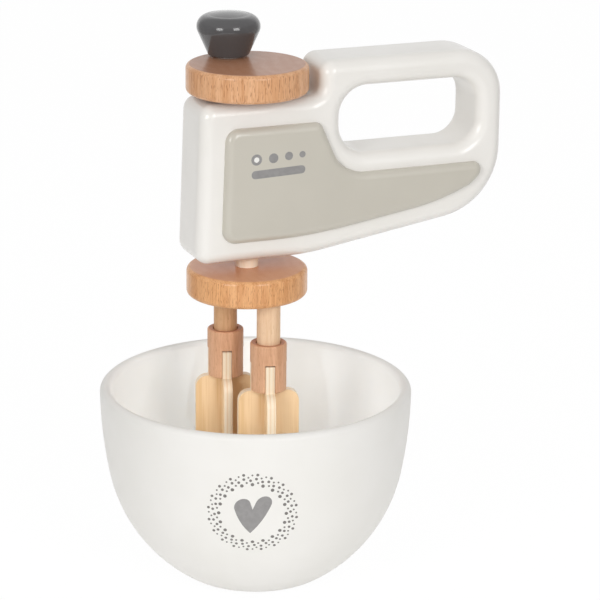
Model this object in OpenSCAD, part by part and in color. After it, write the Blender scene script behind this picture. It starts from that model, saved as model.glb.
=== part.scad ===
// Toy hand mixer standing in its mixing bowl, in millimetres.
// Z is up, with the origin at the centre of the bowl's foot. X runs from the mixer's nose
// to its handle, and the raised panel is on the -Y side.
// Turning the knob round the upper disc turns the drive shaft, the lower disc and both beaters.

/* [Bowl] */
// Outer diameter of the bowl at its rim
bowl_d = 133.2; // [128:0.2:150]
// Height of the bowl
bowl_h = 85; // [78:0.5:92]
// Thickness of the bowl's wall
bowl_wall = 5; // [4:0.1:6]
// Thickness of the bowl's floor
bowl_floor = 8; // [7:0.5:12]
// Radius of the nearly upright side, seen in section
bowl_side_r = 199; // [150:1:260]
// Radius of the lower curve, seen in section
bowl_base_r = 69; // [66:0.5:74]
// Slope, in degrees, where the side runs into the lower curve
bowl_turn = 10.8; // [8:0.2:14]
// Radius between the lower curve and the flat foot, seen in section
bowl_foot_r = 16; // [4:0.5:20]

/* [Place in the bowl] */
// Distance of the drive axis from the bowl's centre, along the mixer
mixer_x = -3.6; // [-6:0.1:6]
// Distance of the drive axis from the bowl's centre, across the mixer
mixer_y = 1.4; // [-4:0.1:4]
// Space between the paddles and the bowl's floor
stand_gap = 0.3; // [0.2:0.1:2]

/* [Beaters] */
// Width of a plywood paddle
paddle_w = 26; // [22:0.5:28]
// Thickness of a plywood paddle
paddle_t = 4; // [3:0.1:5]
// Length of a paddle below its collar
paddle_len = 77.7; // [65:0.1:90]
// Corner radius of a paddle
paddle_r = 5; // [2:0.1:6]
// Height of the tab that a paddle sits in its collar with
tab_h = 12; // [8:0.1:12.5]
// How far each end of the tab lies in from the collar's side
tab_inset = 0.25; // [0:0.05:1]
// Direction of the first paddle of each beater, in degrees
paddle_turn = 75; // [60:1:90]
// Direction from the drive axis to the front beater, in degrees
beater_turn = -68; // [-90:1:-45]
// Free space between the two beaters
beater_clear = 1; // [0.6:0.1:3]
// Diameter of a beater's dowel
dowel_d = 10; // [8:0.1:11]
// Bare length of a dowel between its disc and its collar
dowel_show = 18.7; // [10:0.1:28]
// Depth that a dowel is glued into its disc
dowel_seat = 7.5; // [5:0.1:9]
// Diameter of a collar
collar_d = 15.5; // [15:0.1:18]
// Height of a collar
collar_h = 21; // [19:0.1:26]
// Height of the crossed slots in a collar
slot_h = 12.6; // [12.6:0.1:14]
// Wood left between a collar's slots and its bore
collar_web = 1; // [0.8:0.1:2]
// Radial room round a dowel in its collar
collar_gap = 0.4; // [0.1:0.05:0.6]
// Radius on the collar's edges
collar_edge = 0.8; // [0.4:0.1:1.2]

/* [Discs] */
// Diameter of the upper and lower discs
disc_d = 51.2; // [48:0.2:56]
// Thickness of the discs
disc_t = 12; // [10:0.1:14]
// Radius on the discs' edges
disc_edge = 2; // [0.8:0.1:3]

/* [Drive] */
// Diameter of the drive shaft
shaft_d = 6; // [5:0.1:8]
// Depth that the shaft is glued into each disc
shaft_seat = 7.5; // [5:0.1:9]
// Diameter of the sleeve that the housing stands on
sleeve_d = 9.6; // [9:0.1:14]
// Height of that sleeve
sleeve_h = 5.3; // [4:0.1:12]
// Diameter of the washer under the upper disc
washer_d = 15; // [12:0.1:16]
// Thickness of the washer under the upper disc
washer_t = 1.6; // [0.8:0.1:3]
// Radial room between a turning piece and what it turns in
run_gap = 0.05; // [0.02:0.01:0.1]
// Room left along an axis between pieces that turn past each other
end_play = 0.1; // [0.05:0.05:0.3]
// Radial room that glue fills
glue_gap = 0.05; // [0.02:0.01:0.1]

/* [Knob] */
// Distance of the knob from the drive axis
knob_offset = 15.7; // [14:0.1:18]
// Direction of the knob from the drive axis, in degrees
knob_turn = 99.5; // [60:0.5:150]
// Diameter of the knob's foot
knob_foot_d = 17; // [14.5:0.1:20]
// Diameter of the knob at its widest
knob_d = 26.8; // [24:0.1:30]
// Height of the knob
knob_h = 17.9; // [16:0.1:24]
// Radius of the knob's round rim, seen in section
knob_rim_r = 5; // [3:0.1:6]
// Rise of the knob's crown above its rim
knob_crown = 0.9; // [0.4:0.1:2]
// Thickness of the washer under the knob
knob_washer_t = 0.6; // [0.5:0.1:2]
// Diameter of the washer under the knob
knob_washer_d = 13; // [10:0.1:14]
// Shank diameter of the knob's screw
screw_d = 4; // [3:0.1:5]
// Length of the screw inside the knob
screw_bite = 11; // [8:0.1:13]
// Diameter of the screw's head
screw_head_d = 8; // [7:0.1:9]
// Height of the screw's head
screw_head_h = 2.4; // [1.6:0.1:3]
// Room round the screw's head
screw_head_gap = 0.3; // [0.2:0.05:0.6]

/* [Housing] */
// Thickness of the housing
housing_t = 28; // [26:0.5:34]
// Radius on the housing's edges
edge_r = 5.5; // [3:0.1:5.8]
// Height of the deck under the upper disc, from the housing's bottom
deck_h = 68.1; // [62:0.1:76]
// Height of the handle's top, above the deck
grip_rise = 14.8; // [14:0.1:20]
// Thickness of the grip above the finger opening
grip_t = 12; // [11.8:0.1:16]
// Reach of the nose from the drive axis, at the deck
nose_top_x = 24.6; // [22:0.1:30]
// Reach of the nose from the drive axis, at the bottom
nose_low_x = 27.3; // [24:0.1:32]
// Reach of the handle's end from the drive axis
handle_x = 111.5; // [105:0.1:122]
// Space between the upper disc and the step beside it
step_gap = 2.6; // [1.6:0.1:4]
// Length of flat bottom behind the drive axis
belly_x = 23; // [14:0.5:30]
// Rise of the bottom towards the handle, in degrees
belly_rise = 9.3; // [6:0.1:12]
// Corner radius between the nose and the deck
nose_top_r = 6; // [6:0.1:10]
// Corner radius between the nose and the bottom
nose_low_r = 6; // [6:0.1:10]
// Radius in the hollow beside the upper disc
step_in_r = 5; // [3:0.1:6]
// Radius where the step meets the handle's top
step_out_r = 6; // [6:0.1:7.5]
// Corner radius at the end of the handle's top
handle_top_r = 20; // [18:0.1:28]
// Corner radius at the end of the handle's underside
handle_low_r = 30; // [20:0.5:36]
// Radius of the bend in the bottom
belly_r = 100; // [40:1:140]

/* [Finger opening] */
// Length of the finger opening
open_len = 62.6; // [54:0.1:64]
// Height of the finger opening
open_h = 28.6; // [26:0.1:32]
// Width of the handle behind the finger opening
end_bar = 11.8; // [11.8:0.1:16]
// Corner radius of the opening at the nose end
open_front_r = 12.5; // [8:0.1:12.9]
// Corner radius of the opening at the handle's end
open_back_r = 10.5; // [8:0.1:12.9]

/* [Front panel] */
// Height that the panel stands off the housing
panel_t = 3; // [2.2:0.1:5]
// Radius on the panel's edge
panel_edge = 2; // [1:0.1:2.2]
// Space from the panel to the nose and to the deck
panel_margin = 10.2; // [6:0.1:12]
// Space from the panel to the housing's bottom
panel_low_margin = 9.1; // [6:0.1:12]
// Space from the panel to the finger opening
panel_open_margin = 7.5; // [6:0.1:10]
// Space from the panel's tip to the handle's end
panel_end_margin = 10.6; // [7:0.1:14]
// Where the panel's top edge ends, from the drive axis
panel_top_x = 27; // [20:0.1:29]
// Steepness of the panel's step down to its tail, in degrees
panel_step_rise = 66.5; // [55:0.5:75]
// Corner radius at the nose end of the panel
panel_nose_r = 5.8; // [4:0.1:9]
// Corner radius at the end of the panel's top edge
panel_top_r = 4; // [3:0.1:6]
// Radius of the hollow where the tail begins
panel_hollow_r = 15.5; // [10:0.1:20]
// Rise of the panel's lower edge towards its tail, in degrees
panel_rise = 9.1; // [6:0.1:12]
// Distance before the tip at which the lower edge rises more steeply
panel_kick = 21; // [18:0.1:24]
// Rise of the lower edge from there, in degrees
panel_kick_rise = 22; // [18:0.5:26]
// Radius of the bend there
panel_kick_r = 100; // [60:1:110]
// Radius under the tail's tip
panel_belly_r = 14; // [8:0.5:16]
// Radius of the tail's tip
panel_tip_r = 3.6; // [3:0.1:5]
// Slope of the tail's end, in degrees
panel_tip_rise = 55; // [45:1:60]
// Radius of the bend in the panel's lower edge
panel_bend_r = 230; // [60:1:260]

/* [Hidden] */
$fn = 96;
// Steps along each rounded corner, and across each rounded edge
corner_steps = 10;
edge_steps = 6;
// Steps along each curve of a turned profile
turned_steps = 24;
// Overrun of a cutting tool past the face that it leaves by
over = 1;
// Height that a rounded edge runs on past the flat face before that face is cut
cut_past = 0.02;

// Colours
white_lacquer = [0.93, 0.92, 0.89];
bowl_white = [0.93, 0.93, 0.91];
greige = [0.77, 0.75, 0.70];
beech = [0.85, 0.63, 0.43];
pale_beech = [0.92, 0.78, 0.62];
birch_ply = [0.95, 0.81, 0.60];
slate = [0.33, 0.32, 0.32];
nylon = [0.90, 0.89, 0.86];
steel = [0.70, 0.71, 0.73];

// Heights, stacked up from the bowl's floor
beater_z = bowl_floor + stand_gap;
shoulder_z = beater_z + paddle_len;
collar_top_z = shoulder_z + collar_h;
low_disc_z = collar_top_z + dowel_show;
low_disc_top_z = low_disc_z + disc_t;
housing_z = low_disc_top_z + sleeve_h + end_play;
deck_z = housing_z + deck_h;
crank_z = deck_z + end_play + washer_t;
crank_top_z = crank_z + disc_t;
knob_z = crank_top_z + end_play + knob_washer_t;

// Widths and depths that follow from the sizes above; a slot takes a paddle with glue on each side
beater_offset = (paddle_w + beater_clear) / 2;
slot_w = paddle_t + 4 * glue_gap;
collar_bore_h = collar_h - slot_h - collar_web;
step_x = disc_d / 2 + step_gap;
open_back_x = handle_x - end_bar;
open_front_x = open_back_x - open_len;
grip_h = deck_h + grip_rise;
open_top_h = grip_h - grip_t;
open_low_h = open_top_h - open_h;
screw_pocket_h = screw_head_h + end_play + screw_head_gap;

// Outlines with rounded corners.
// A corner is [point, radius]. An outline is a list of [point, outward normal] pairs that
// runs anticlockwise, so an inset moves every point along its own normal.
function unit(v) = v / norm(v);
function left_of(v) = [-v[1], v[0]];
function turned(v, a) = [v[0] * cos(a) - v[1] * sin(a), v[0] * sin(a) + v[1] * cos(a)];
function corner_points(before, corner, after) =
  let (
    p = corner[0],
    into = unit(p - before[0]),
    out = unit(after[0] - p),
    bend = atan2(cross(into, out), into * out),
    side = sign(bend),
    start = p - into * corner[1] * tan(abs(bend) / 2),
    centre = start + side * corner[1] * left_of(into)
  )
  [
    for (k = [0:corner_steps])
      let (normal = -left_of(turned(into, bend * k / corner_steps)))
      [centre + side * corner[1] * normal, normal]
  ];
function outline(corners) =
  let (n = len(corners))
  [
    for (i = [0:n - 1])
      each corner_points(corners[(i + n - 1) % n], corners[i], corners[(i + 1) % n])
  ];
function inset(ring, d) = [for (q = ring) q[0] - d * q[1]];

// Rows of a rounded edge, as [depth from the face, inset], from the face to the full outline.
// The first row lies just past the face, in line with the second, for a clean cut there.
function edge_row(r, a) = [r * (1 - cos(a)), r * (1 - sin(a))];
function edge_rows(r) =
  let (
    rows = [for (k = [1:edge_steps]) edge_row(r, 90 * k / edge_steps)],
    slope = (r - rows[0][1]) / rows[0][0]
  )
  concat([[-cut_past, r + cut_past * slope]], rows);
// Both edges of a plate that is t thick, from its -Y face to its +Y face
function plate_rows(t, r) =
  let (rows = edge_rows(r), n = len(rows))
  concat(
    [for (q = rows) [q[0] - t / 2, q[1]]],
    [for (k = [1:n]) [t / 2 - rows[n - k][0], rows[n - k][1]]]
  );

// Points of an outline at each row, and the walls between the rows
function row_points(ring, rows, sense) = [
  for (row = rows)
    for (p = inset(ring, sense * row[1]))
      [p[0], row[0], p[1]]
];
function walls(n, rows) = [
  for (k = [0:rows - 2])
    for (i = [0:n - 1])
      let (
        a = k * n + i,
        b = k * n + (i + 1) % n
      )
      each [[a, b, b + n], [a, b + n, a + n]]
];
function span(from, to) = [for (i = [from:to]) i];
function reversed(list) = [for (i = [len(list) - 1:-1:0]) list[i]];

// Turned profile: points round a centre, from angle a0 to angle a1
function arc(centre, r, a0, a1) = [
  for (k = [0:turned_steps])
    let (a = a0 + (a1 - a0) * k / turned_steps)
    centre + r * [cos(a), sin(a)]
];

// Bowl

// Centres of the arcs of the bowl's section, and the angles at which they meet z and the lip
bowl_lip_r = bowl_wall / 2;
bowl_side_c = [bowl_d / 2 - bowl_side_r, bowl_h];
bowl_base_c = bowl_side_c + (bowl_side_r - bowl_base_r) * [cos(bowl_turn), -sin(bowl_turn)];
bowl_foot_c = [
  bowl_base_c[0] + sqrt((bowl_base_r - bowl_foot_r) ^ 2 - (bowl_base_c[1] - bowl_foot_r) ^ 2),
  bowl_foot_r
];
function base_angle(z, r) = -asin((bowl_base_c[1] - z) / r);
function lip_angle(r) = -asin(bowl_lip_r / r);

// One face of the wall, d inside the outer one, from angle a of the lower curve up to the lip
function bowl_face(a, d) = concat(
  arc(bowl_base_c, bowl_base_r - d, a, -bowl_turn),
  arc(bowl_side_c, bowl_side_r - d, -bowl_turn, lip_angle(bowl_side_r - d))
);

module bowl() {
  lip_c = [bowl_d / 2 - bowl_lip_r, bowl_h - bowl_lip_r];
  foot_a = base_angle(bowl_foot_r, bowl_base_r - bowl_foot_r);
  floor_a = base_angle(bowl_floor, bowl_base_r - bowl_wall);
  color(bowl_white)
    rotate_extrude()
      polygon(concat(
        [[0, 0]],
        arc(bowl_foot_c, bowl_foot_r, -90, foot_a),
        bowl_face(foot_a, 0),
        arc(lip_c, bowl_lip_r, 0, 180),
        reversed(bowl_face(floor_a, bowl_wall)),
        [[0, bowl_floor]]
      ));
}

// Housing

// Height of the bottom at distance x from the drive axis
function belly_line(x) = (x - belly_x) * tan(belly_rise);
// Line of the nose at height h, moved in by a margin
function nose_line(h, margin) = margin - nose_low_x + (nose_low_x - nose_top_x) * h / deck_h;

housing_corners = [
  [[nose_line(0, 0), 0], nose_low_r],
  [[belly_x, 0], belly_r],
  [[handle_x, belly_line(handle_x)], handle_low_r],
  [[handle_x, grip_h], handle_top_r],
  [[step_x, grip_h], step_out_r],
  [[step_x, deck_h], step_in_r],
  [[nose_line(deck_h, 0), deck_h], nose_top_r]
];
opening_corners = [
  [[open_front_x, open_low_h], open_front_r],
  [[open_back_x, open_low_h], open_back_r],
  [[open_back_x, open_top_h], open_back_r],
  [[open_front_x, open_top_h], open_front_r]
];

// Solid that joins an outline at each of its rows; sense is -1 where the rows flare outwards
module loft(ring, rows, sense) {
  n = len(ring);
  last = n * (len(rows) - 1);
  polyhedron(
    points = row_points(ring, rows, sense),
    faces = concat(
      walls(n, len(rows)),
      [reversed(span(0, n - 1)), span(last, last + n - 1)]
    ),
    convexity = 6
  );
}

// Keeps its children between two flat faces, at y and t behind it
module cut_flat(y, t) {
  intersection() {
    children();
    translate([-nose_low_x - over, y, -over])
      cube([nose_low_x + handle_x + 2 * over, t, grip_h + 2 * over]);
  }
}

module housing() {
  rows = plate_rows(housing_t, edge_r);
  color(white_lacquer)
    at_drive(housing_z)
      difference() {
        cut_flat(-housing_t / 2, housing_t)
          loft(outline(housing_corners), rows, 1);
        loft(outline(opening_corners), rows, -1);
        translate([0, 0, -over])
          cylinder(d = shaft_d + 2 * run_gap, h = deck_h + 2 * over);
      }
}

// Front panel

panel_top_h = deck_h - panel_margin;
panel_tail_h = open_low_h - panel_open_margin;
panel_tip_x = handle_x - panel_end_margin;
// The tail's end is a line that touches the tip's round end
panel_tip_c = [panel_tip_x - panel_tip_r, panel_tail_h - panel_tip_r];
panel_tip_touch = panel_tip_c + panel_tip_r * [sin(panel_tip_rise), -cos(panel_tip_rise)];
// Lower edge: flat, then a line to the kick, then a steeper line that meets the tail's end
panel_bend_x = belly_x - panel_low_margin * tan(belly_rise / 2);
panel_kick_x = panel_tip_x - panel_kick;
panel_kick_h = panel_low_margin + (panel_kick_x - panel_bend_x) * tan(panel_rise);
panel_low_x = (panel_kick_h - panel_tip_touch[1] + panel_tip_touch[0] * tan(panel_tip_rise)
  - panel_kick_x * tan(panel_kick_rise)) / (tan(panel_tip_rise) - tan(panel_kick_rise));
panel_low_h = panel_kick_h + (panel_low_x - panel_kick_x) * tan(panel_kick_rise);
// Upper edge: where the tail's end meets it, and where the step comes down to it
panel_high_x = panel_tip_touch[0] + (panel_tail_h - panel_tip_touch[1]) / tan(panel_tip_rise);
panel_hollow_x = panel_top_x + (panel_top_h - panel_tail_h) / tan(panel_step_rise);

panel_corners = [
  [[nose_line(panel_low_margin, panel_margin), panel_low_margin], panel_nose_r],
  [[panel_bend_x, panel_low_margin], panel_bend_r],
  [[panel_kick_x, panel_kick_h], panel_kick_r],
  [[panel_low_x, panel_low_h], panel_belly_r],
  [[panel_high_x, panel_tail_h], panel_tip_r],
  [[panel_hollow_x, panel_tail_h], panel_hollow_r],
  [[panel_top_x, panel_top_h], panel_top_r],
  [[nose_line(panel_top_h, panel_margin), panel_top_h], panel_nose_r]
];

module front_panel() {
  face_y = -housing_t / 2 - panel_t;
  rows = [for (q = edge_rows(panel_edge)) [face_y + q[0], q[1]]];
  color(greige)
    at_drive(housing_z)
      cut_flat(face_y, panel_t)
        loft(outline(panel_corners), concat(rows, [[face_y + panel_t + over, 0]]), 1);
}

// Drive

// Puts its children on the drive axis at height z
module at_drive(z) {
  translate([mixer_x, mixer_y, z])
    children();
}

// Turned cylinder with a radius on both edges
module turned_disc(d, h, r) {
  rotate_extrude()
    union() {
      square([d / 2 - r, h]);
      translate([0, r])
        square([d / 2, h - 2 * r]);
      for (z = [r, h - r])
        translate([d / 2 - r, z])
          circle(r);
    }
}

module ring(d, bore, h) {
  difference() {
    cylinder(d = d, h = h);
    translate([0, 0, -over])
      cylinder(d = bore, h = h + 2 * over);
  }
}

module drive_shaft() {
  bottom_z = low_disc_top_z - shaft_seat;
  color(pale_beech)
    at_drive(bottom_z)
      cylinder(d = shaft_d, h = crank_z + shaft_seat - bottom_z);
}

module spacer_sleeve() {
  color(pale_beech)
    at_drive(low_disc_top_z)
      ring(sleeve_d, shaft_d + 2 * glue_gap, sleeve_h);
}

module crank_washer() {
  color(nylon)
    at_drive(crank_z - washer_t)
      ring(washer_d, shaft_d + 2 * glue_gap, washer_t);
}

module crank_disc() {
  color(beech)
    at_drive(crank_z)
      difference() {
        turned_disc(disc_d, disc_t, disc_edge);
        translate([0, 0, -over])
          cylinder(d = shaft_d + 2 * glue_gap, h = shaft_seat + over);
        at_knob(-over) {
          cylinder(d = screw_d + 2 * run_gap, h = disc_t + 2 * over);
          cylinder(d = screw_head_d + 2 * screw_head_gap, h = screw_pocket_h + over);
        }
      }
}

module beater_disc() {
  color(beech)
    at_drive(low_disc_z)
      difference() {
        turned_disc(disc_d, disc_t, disc_edge);
        translate([0, 0, disc_t - shaft_seat])
          cylinder(d = shaft_d + 2 * glue_gap, h = shaft_seat + over);
        for (side = [0, 1])
          at_beater(side, -over)
            cylinder(d = dowel_d + 2 * glue_gap, h = dowel_seat + over);
      }
}

// Knob

// Puts its children on the knob's axis, from the drive axis
module at_knob(z) {
  translate([knob_offset * cos(knob_turn), knob_offset * sin(knob_turn), z])
    children();
}

// The crown's arc runs from the rim's top to the axis
knob_rim_c = [knob_d / 2 - knob_rim_r, knob_h - knob_crown - knob_rim_r];
knob_crown_r = (knob_rim_c[0] ^ 2 + knob_crown ^ 2) / (2 * knob_crown);
knob_crown_c = [0, knob_h - knob_crown_r];
// The flare is a straight line from the foot that touches the rim
knob_flare = knob_rim_c - [knob_foot_d / 2, 0];
knob_touch = atan2(knob_flare[1], knob_flare[0]) + acos(knob_rim_r / norm(knob_flare)) - 180;

module knob() {
  color(slate)
    at_drive(knob_z)
      at_knob(0)
        difference() {
          rotate_extrude()
            polygon(concat(
              [[0, 0], [knob_foot_d / 2, 0]],
              arc(knob_rim_c, knob_rim_r, knob_touch, 90),
              arc(knob_crown_c, knob_crown_r, 90 - asin(knob_rim_c[0] / knob_crown_r), 90)
            ));
          translate([0, 0, -over])
            cylinder(d = screw_d + 2 * glue_gap, h = screw_bite + over);
        }
}

module knob_screw() {
  shank_z = crank_z + screw_pocket_h - end_play;
  color(steel)
    at_drive(shank_z)
      at_knob(0) {
        cylinder(d = screw_d, h = knob_z + screw_bite - shank_z);
        translate([0, 0, -screw_head_h])
          cylinder(d = screw_head_d, h = screw_head_h);
      }
}

module knob_washer() {
  color(nylon)
    at_drive(knob_z - knob_washer_t)
      at_knob(0)
        ring(knob_washer_d, screw_d + 2 * glue_gap, knob_washer_t);
}

// Beaters

// Puts its children on the axis of the front beater (side 0) or the rear one (side 1)
module at_beater(side, z) {
  a = beater_turn + side * 180;
  translate([beater_offset * cos(a), beater_offset * sin(a), z])
    children();
}

module dowel(side) {
  bottom_z = collar_top_z - collar_bore_h;
  color(pale_beech)
    at_drive(bottom_z)
      at_beater(side, 0)
        cylinder(d = dowel_d, h = low_disc_z + dowel_seat - bottom_z);
}

module collar(side) {
  color(beech)
    at_drive(shoulder_z)
      at_beater(side, 0)
        difference() {
          turned_disc(collar_d, collar_h, collar_edge);
          translate([0, 0, collar_h - collar_bore_h])
            cylinder(d = dowel_d + 2 * collar_gap, h = collar_bore_h + over);
          for (a = [0, 90])
            rotate([0, 0, paddle_turn + a])
              translate([-collar_d / 2 - over, -slot_w / 2, -over])
                cube([collar_d + 2 * over, slot_w, slot_h + over]);
        }
}

// Plywood paddle: a wing with round corners and a tab above it, notched to half its height.
// Paddle 0 is notched from the top, and paddle 1, square to it, from the bottom.
module paddle(side, which) {
  whole_h = paddle_len + tab_h;
  tab_w = collar_d - 2 * tab_inset;
  notch_z = which == 0 ? whole_h / 2 : -over;
  color(birch_ply)
    at_drive(beater_z)
      at_beater(side, 0)
        rotate([90, 0, paddle_turn + 90 * which])
          translate([0, 0, -paddle_t / 2])
            linear_extrude(paddle_t)
              difference() {
                union() {
                  translate([-paddle_w / 2 + paddle_r, 0])
                    square([paddle_w - 2 * paddle_r, paddle_len]);
                  translate([-paddle_w / 2, paddle_r])
                    square([paddle_w, paddle_len - 2 * paddle_r]);
                  for (x = [-1, 1])
                    for (y = [paddle_r, paddle_len - paddle_r])
                      translate([x * (paddle_w / 2 - paddle_r), y])
                        circle(paddle_r);
                  translate([-tab_w / 2, paddle_len - paddle_r])
                    square([tab_w, paddle_r + tab_h]);
                }
                translate([-slot_w / 2, notch_z])
                  square([slot_w, whole_h / 2 + over]);
              }
}

module front_dowel() {
  dowel(0);
}

module front_collar() {
  collar(0);
}

module front_paddle_a() {
  paddle(0, 0);
}

module front_paddle_b() {
  paddle(0, 1);
}

module rear_dowel() {
  dowel(1);
}

module rear_collar() {
  collar(1);
}

module rear_paddle_a() {
  paddle(1, 0);
}

module rear_paddle_b() {
  paddle(1, 1);
}

bowl();
housing();
front_panel();
drive_shaft();
spacer_sleeve();
crank_disc();
crank_washer();
knob();
knob_screw();
knob_washer();
beater_disc();
front_dowel();
front_collar();
front_paddle_a();
front_paddle_b();
rear_dowel();
rear_collar();
rear_paddle_a();
rear_paddle_b();
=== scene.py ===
"""Toy hand mixer standing in its bowl: surfaces, prints, materials, light and camera.

Lengths are in millimetres, as in the part's source, and MM turns them into Blender's metres.
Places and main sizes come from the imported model's boxes. Outlines on the housing are measured
from the drive axis and from the housing's bottom.
"""
import itertools
import math

import bpy
from mathutils import Matrix, Vector
from mathutils.geometry import tessellate_polygon


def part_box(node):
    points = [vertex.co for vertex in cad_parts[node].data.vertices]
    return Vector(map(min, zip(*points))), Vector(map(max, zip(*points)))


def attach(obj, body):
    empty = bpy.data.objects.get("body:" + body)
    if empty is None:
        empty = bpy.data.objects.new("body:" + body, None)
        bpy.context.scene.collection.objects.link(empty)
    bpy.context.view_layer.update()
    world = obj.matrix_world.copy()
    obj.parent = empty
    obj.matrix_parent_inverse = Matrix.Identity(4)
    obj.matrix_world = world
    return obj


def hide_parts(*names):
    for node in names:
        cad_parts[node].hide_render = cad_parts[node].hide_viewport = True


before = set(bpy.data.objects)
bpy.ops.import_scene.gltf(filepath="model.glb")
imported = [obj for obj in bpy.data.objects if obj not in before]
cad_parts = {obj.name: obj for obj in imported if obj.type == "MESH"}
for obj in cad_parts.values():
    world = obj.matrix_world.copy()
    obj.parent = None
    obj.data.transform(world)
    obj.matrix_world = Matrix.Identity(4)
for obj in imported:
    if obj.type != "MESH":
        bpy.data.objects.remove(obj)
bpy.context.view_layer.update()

MM = 0.001
DEG = math.pi / 180
UP = Vector((0, 0, 1))


# Frame

def box_mm(node):
    """Lowest corner, highest corner and centre of a CAD node, in millimetres."""
    lo, hi = (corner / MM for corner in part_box(node))
    return lo, hi, (lo + hi) / 2


def width(node):
    lo, hi, _ = box_mm(node)
    return hi.x - lo.x


def height(node):
    lo, hi, _ = box_mm(node)
    return hi.z - lo.z


def foot_of(node):
    """Point on a node's middle axis at its lowest height."""
    lo, _, mid = box_mm(node)
    return Vector((mid.x, mid.y, lo.z))


DRIVE = foot_of("drive_shaft")
HOUSING_LO, HOUSING_HI, _ = box_mm("housing")
# Outlines on the housing start here: on the drive axis, at the housing's bottom
HOUSING_FOOT = Vector((DRIVE.x, DRIVE.y, HOUSING_LO.z))


# Outlines, as lists of (point, outward normal), anticlockwise

CORNER_STEPS = 14
# Corners under this radius have fewer steps
SMALL_R = 1.5
SMALL_STEPS = 5
# Points closer than this are one point
SAME_POINT = 1e-4


def rounded(corners, closed=True):
    """Outline with rounded corners from [(x, y, radius)]; an open one keeps its two end points."""
    count = len(corners)
    out = []
    for i, (x, y, radius) in enumerate(corners):
        place = Vector((x, y))
        before = Vector(corners[i - 1][:2])
        after = Vector(corners[(i + 1) % count][:2])
        into = (place - before).normalized()
        onward = (after - place).normalized()
        if not closed and i in (0, count - 1):
            along = onward if i == 0 else into
            out.append((place, Vector((along.y, -along.x))))
            continue
        bend = math.atan2(into.x * onward.y - into.y * onward.x, into.dot(onward))
        side = math.copysign(1, bend)
        start = place - into * radius * math.tan(abs(bend) / 2)
        centre = start + Vector((-into.y, into.x)) * side * radius
        steps = SMALL_STEPS if radius < SMALL_R else CORNER_STEPS
        for k in range(steps + 1):
            along = Matrix.Rotation(bend * k / steps, 2) @ into
            normal = Vector((along.y, -along.x))
            out.append((centre + normal * side * radius, normal))
    return out


def arc(centre, radius, start, end, steps, side=1):
    """Arc between two angles; side is -1 where the solid lies outside the arc."""
    out = []
    for k in range(steps + 1):
        angle = start + (end - start) * k / steps
        normal = Vector((math.cos(angle), math.sin(angle)))
        out.append((centre + radius * normal, side * normal))
    return out


def joined(*stretches):
    """Stretches of one outline in a row, without the points that two of them share."""
    out = []
    for stretch in stretches:
        for place, normal in stretch:
            if not out or (place - out[-1][0]).length > SAME_POINT:
                out.append((place, normal))
    return out


# Meshes

TURN_STEPS = 160
EDGE_STEPS = 8
# A profile's point with a smaller radius lies on the axis
ON_AXIS = 1e-6
CARVED_SHARP = 35 * DEG


class Skin:
    """A mesh in the making: points in millimetres with their normals, and faces between them."""

    def __init__(self):
        self.points = []
        self.normals = []
        self.faces = []

    def point(self, place, normal):
        self.points.append(Vector(place))
        self.normals.append(Vector(normal).normalized())
        return len(self.points) - 1

    def face(self, corners):
        """Adds a face that looks the way its points' normals do."""
        corners = [c for i, c in enumerate(corners) if c != corners[i - 1]]
        if len(corners) < 3:
            return
        spots = [self.points[c] for c in corners]
        facing = sum((a.cross(b) for a, b in zip(spots, spots[1:] + spots[:1])), Vector())
        outward = sum((self.normals[c] for c in corners), Vector())
        self.faces.append(corners if facing.dot(outward) >= 0 else corners[::-1])

    def strip(self, row, other):
        """Faces between two closed rows of points."""
        for i in range(len(row)):
            self.face([row[i - 1], row[i], other[i], other[i - 1]])

    def cap(self, *loops):
        """Closes a flat outline; loops after the first are holes in it."""
        order = [i for loop in loops for i in loop]
        for corners in tessellate_polygon([[self.points[i] for i in loop] for loop in loops]):
            self.face([order[c] for c in corners])

    def piece(self, name, material, at=(0, 0, 0), turn=0.0, own_normals=True):
        """Object of this mesh, turned about Z and put at a place in millimetres."""
        mesh = bpy.data.meshes.new(name)
        mesh.from_pydata([p * MM for p in self.points], [], self.faces)
        mesh.shade_smooth()
        if own_normals:
            mesh.normals_split_custom_set_from_vertices([list(n) for n in self.normals])
        mesh.materials.append(material)
        obj = bpy.data.objects.new(name, mesh)
        bpy.context.scene.collection.objects.link(obj)
        obj.matrix_world = Matrix.Translation(Vector(at) * MM) @ Matrix.Rotation(turn, 4, "Z")
        return obj


def turned(profile, closed=False):
    """Solid turned about Z from a profile of (radius, height); its ends on the axis are poles."""
    skin = Skin()
    rows = []
    for place, normal in profile:
        if place.x < ON_AXIS:
            rows.append([skin.point((0, 0, place.y), (0, 0, normal.y))] * TURN_STEPS)
            continue
        row = []
        for k in range(TURN_STEPS):
            turn = k * 2 * math.pi / TURN_STEPS
            c, s = math.cos(turn), math.sin(turn)
            row.append(skin.point((place.x * c, place.x * s, place.y),
                                  (normal.x * c, normal.x * s, normal.y)))
        rows.append(row)
    for row, other in zip(rows, rows[1:]):
        skin.strip(row, other)
    if closed:
        skin.strip(rows[-1], rows[0])
    return skin


def turned_rod(radius, length, edge):
    corners = [(0, 0, 0), (radius, 0, edge), (radius, length, edge), (0, length, 0)]
    return turned(rounded(corners, closed=False))


def turned_ring(radius, bore, length, edge):
    corners = [(bore, 0, edge), (radius, 0, edge), (radius, length, edge), (bore, length, edge)]
    return turned(rounded(corners), closed=True)


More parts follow.
